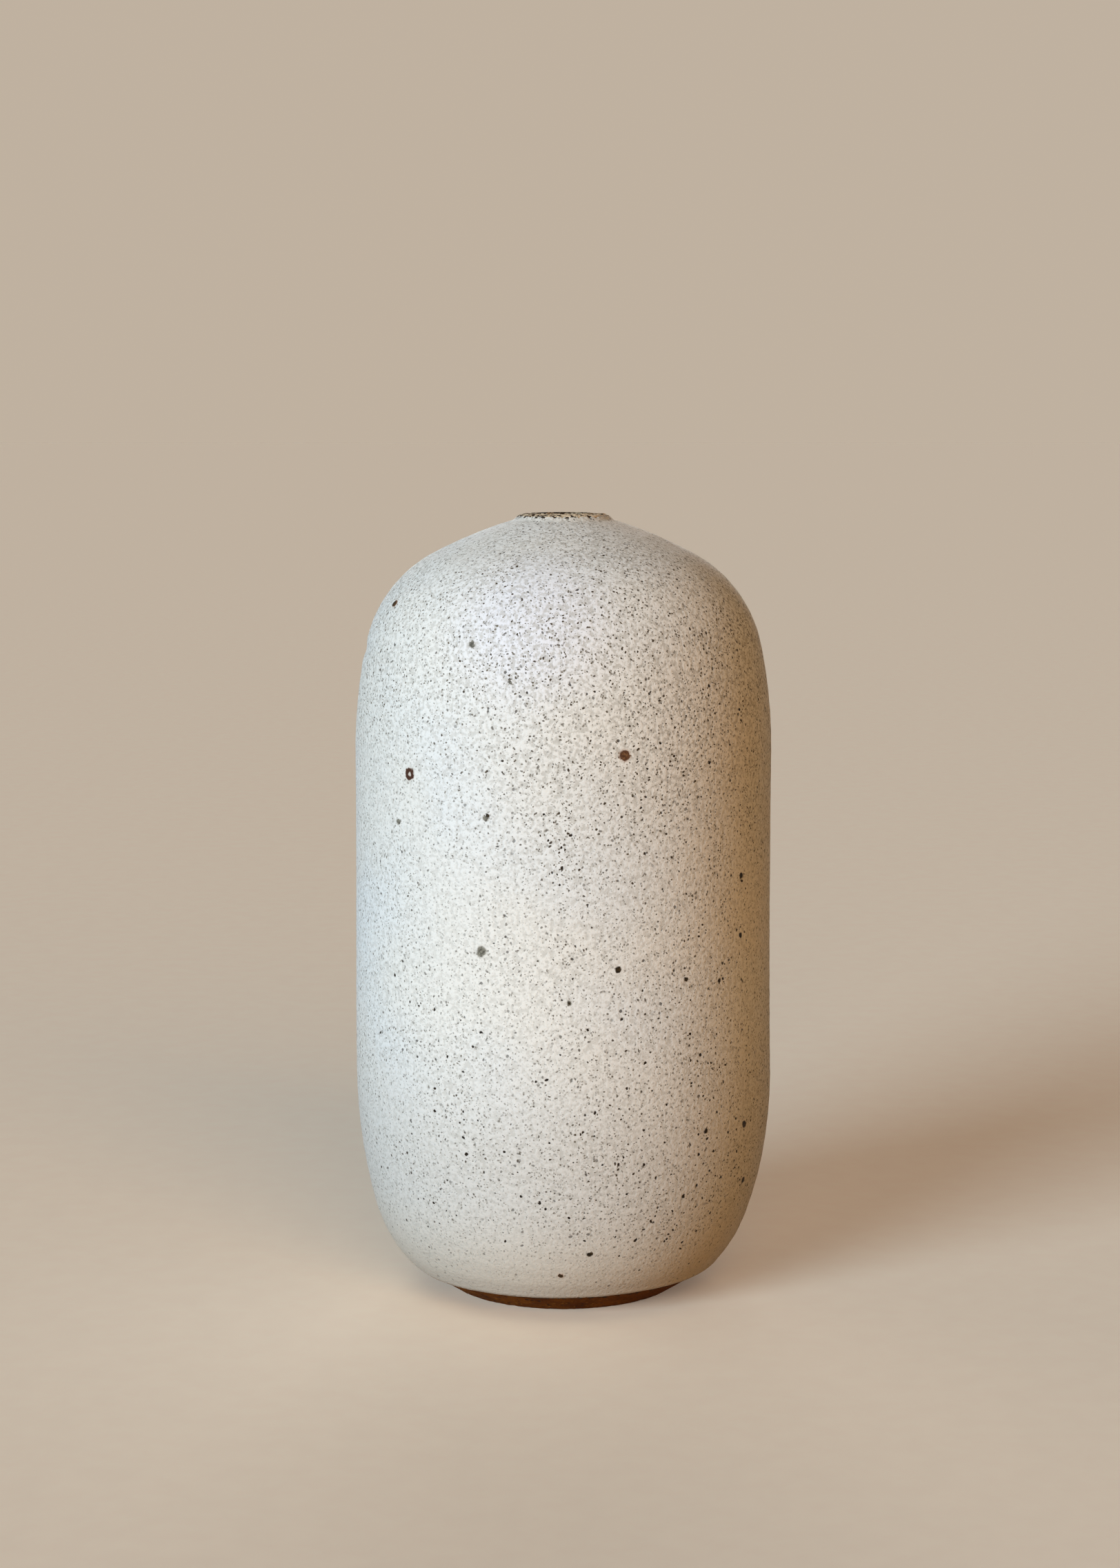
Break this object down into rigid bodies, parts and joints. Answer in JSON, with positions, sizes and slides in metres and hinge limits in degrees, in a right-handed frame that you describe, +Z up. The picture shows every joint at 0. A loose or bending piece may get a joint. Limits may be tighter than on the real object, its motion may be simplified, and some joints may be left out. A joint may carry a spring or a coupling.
{
  "type": "bud vase",
  "caption": "Tall narrow-mouthed stoneware bud vase with straight walls, a domed shoulder and a small bare rim, for a single flower stem.",
  "frame": {"origin": "middle of the foot ring, on the surface that the vase stands on", "axes": "+Z up along the axis that the vase was thrown on; +X and +Y are free, because the form is turned about Z"},
  "size_m": [0.09, 0.09, 0.1676],
  "materials": {
    "bare_stoneware": "unglazed toasted stoneware, gritty and matte, bare at the rim and foot",
    "speckled_glaze": "satin-matte off-white glaze with fine grey iron speckle and a few larger brown spots",
    "liner_glaze": "thin satin off-white liner glaze with sparse speckle"
  },
  "bodies": {
    "root": {"stoneware_body": "bare_stoneware", "outer_glaze": "speckled_glaze", "liner_glaze": "liner_glaze"}
  },
  "joints": []
}
